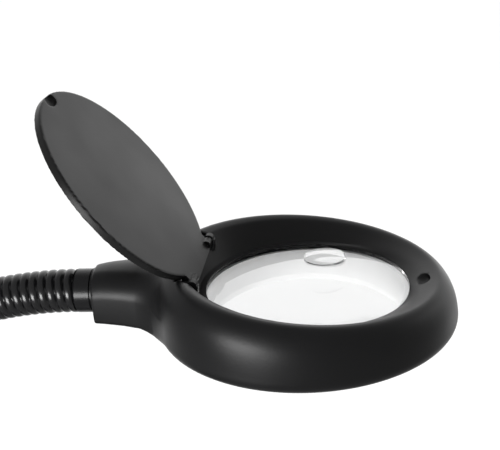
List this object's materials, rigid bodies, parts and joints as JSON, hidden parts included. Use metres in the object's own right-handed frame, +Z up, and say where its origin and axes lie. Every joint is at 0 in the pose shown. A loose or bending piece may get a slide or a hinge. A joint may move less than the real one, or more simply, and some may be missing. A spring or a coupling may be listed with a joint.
{
  "type": "magnifying lamp",
  "caption": "Desk magnifying lamp: ring head with a round lens, spot lens and hinged lens cover on a ribbed gooseneck, standing on a weighted round base with a rocker switch.",
  "frame": {"origin": "centre of the round base, on the underside of its foot pad", "axes": "+Z up, +X from the base towards the tip of the ring head, +Y to the left of someone looking along +X"},
  "size_m": [0.4166, 0.18, 0.381],
  "materials": {
    "base_plastic": "satin black moulded plastic",
    "cast_weight": "rough cast",
    "base_plate_steel": "black painted sheet",
    "pad_foam": "matt foam rubber",
    "zinc_screw": "zinc plated",
    "black_screw": "black oxide",
    "switch_plastic": "gloss black",
    "rocker_plastic": "gloss black",
    "jack_plastic": "black",
    "lead_pvc": "black cable sheath",
    "ferrule_black": "gloss black",
    "nut_steel": "plated",
    "pin_steel": "plated",
    "neck_ribs": "gloss black",
    "neck_spiral": "oiled spiral",
    "head_plastic": "satin black moulded plastic",
    "cover_plastic": "satin black",
    "lid_plastic": "satin dark grey-black",
    "lens_clear": "polished clear",
    "spot_clear": "polished clear",
    "ring_white": "white",
    "board_white": "white solder mask",
    "led_phosphor": "yellow phosphor",
    "chip_black": "black",
    "diffuser_milk": "milky"
  },
  "bodies": {
    "base": {"base_shell": "base_plastic", "base_weight": "cast_weight", "base_plate": "base_plate_steel", "base_pad": "pad_foam", "base_screws": "zinc_screw", "switch_housing": "switch_plastic", "dc_jack": "jack_plastic", "base_leads": "lead_pvc", "lower_ferrule": "ferrule_black", "neck_nut": "nut_steel", "neck_sleeve_1": "neck_ribs", "neck_core_1": "neck_spiral", "neck_lead_1": "lead_pvc"},
    "switch_key": {"rocker": "rocker_plastic"},
    "neck_2": {"neck_sleeve_2": "neck_ribs", "neck_core_2": "neck_spiral", "neck_lead_2": "lead_pvc"},
    "neck_3": {"neck_sleeve_3": "neck_ribs", "neck_core_3": "neck_spiral", "neck_lead_3": "lead_pvc"},
    "neck_4": {"neck_sleeve_4": "neck_ribs", "neck_core_4": "neck_spiral", "neck_lead_4": "lead_pvc"},
    "neck_5": {"neck_sleeve_5": "neck_ribs", "neck_core_5": "neck_spiral", "neck_lead_5": "lead_pvc"},
    "neck_6": {"neck_sleeve_6": "neck_ribs", "neck_core_6": "neck_spiral", "neck_lead_6": "lead_pvc"},
    "neck_7": {"neck_sleeve_7": "neck_ribs", "neck_core_7": "neck_spiral", "neck_lead_7": "lead_pvc"},
    "head": {"head_shell": "head_plastic", "bottom_cover": "cover_plastic", "neck_cover": "cover_plastic", "cover_screws": "black_screw", "lens": "lens_clear", "spot_lens": "spot_clear", "lens_ring": "ring_white", "led_board": "board_white", "leds": "led_phosphor", "driver_chip": "chip_black", "diffuser": "diffuser_milk", "upper_ferrule": "ferrule_black", "gland_nut": "nut_steel", "lid_pins": "pin_steel", "neck_sleeve_8": "neck_ribs", "neck_core_8": "neck_spiral", "neck_lead_8": "lead_pvc"},
    "cover": {"lid": "lid_plastic"}
  },
  "joints": [
    {"name": "neck_bend_1", "type": "hinge", "parent": "base", "child": "neck_2", "pos_m": [-0.045, 0, 0.092], "axis": [0, 1, 0], "range_deg": [-10, 10]},
    {"name": "neck_sway_2", "type": "hinge", "parent": "neck_2", "child": "neck_3", "pos_m": [-0.04011, 0, 0.13539], "axis": [0.9749, 0, -0.2225], "range_deg": [-10, 10]},
    {"name": "neck_bend_3", "type": "hinge", "parent": "neck_3", "child": "neck_4", "pos_m": [-0.02569, 0, 0.17661], "axis": [0, 1, 0], "range_deg": [-10, 10]},
    {"name": "neck_sway_4", "type": "hinge", "parent": "neck_4", "child": "neck_5", "pos_m": [-0.00246, 0, 0.21358], "axis": [0.7818, 0, -0.6235], "range_deg": [-10, 10]},
    {"name": "neck_bend_5", "type": "hinge", "parent": "neck_5", "child": "neck_6", "pos_m": [0.02842, 0, 0.24446], "axis": [0, 1, 0], "range_deg": [-10, 10]},
    {"name": "neck_sway_6", "type": "hinge", "parent": "neck_6", "child": "neck_7", "pos_m": [0.06539, 0, 0.26769], "axis": [0.4339, 0, -0.901], "range_deg": [-10, 10]},
    {"name": "neck_bend_7", "type": "hinge", "parent": "neck_7", "child": "head", "pos_m": [0.10661, 0, 0.28211], "axis": [0, 1, 0], "range_deg": [-10, 10]},
    {"name": "lid_hinge", "type": "hinge", "parent": "head", "child": "cover", "pos_m": [0.21012, 0, 0.30137], "axis": [0, -1, 0], "range_deg": [-133.6, 0]},
    {"name": "switch_rock", "type": "hinge", "parent": "base", "child": "switch_key", "pos_m": [0.048, 0, 0.0225], "axis": [0, 1, 0], "range_deg": [0, 16]}
  ],
  "couplings": [
    {"joint": "neck_bend_3", "follows": "neck_bend_1", "ratio": 1},
    {"joint": "neck_bend_5", "follows": "neck_bend_1", "ratio": 1},
    {"joint": "neck_bend_7", "follows": "neck_bend_1", "ratio": 1},
    {"joint": "neck_sway_4", "follows": "neck_sway_2", "ratio": 1},
    {"joint": "neck_sway_6", "follows": "neck_sway_2", "ratio": 1}
  ]
}
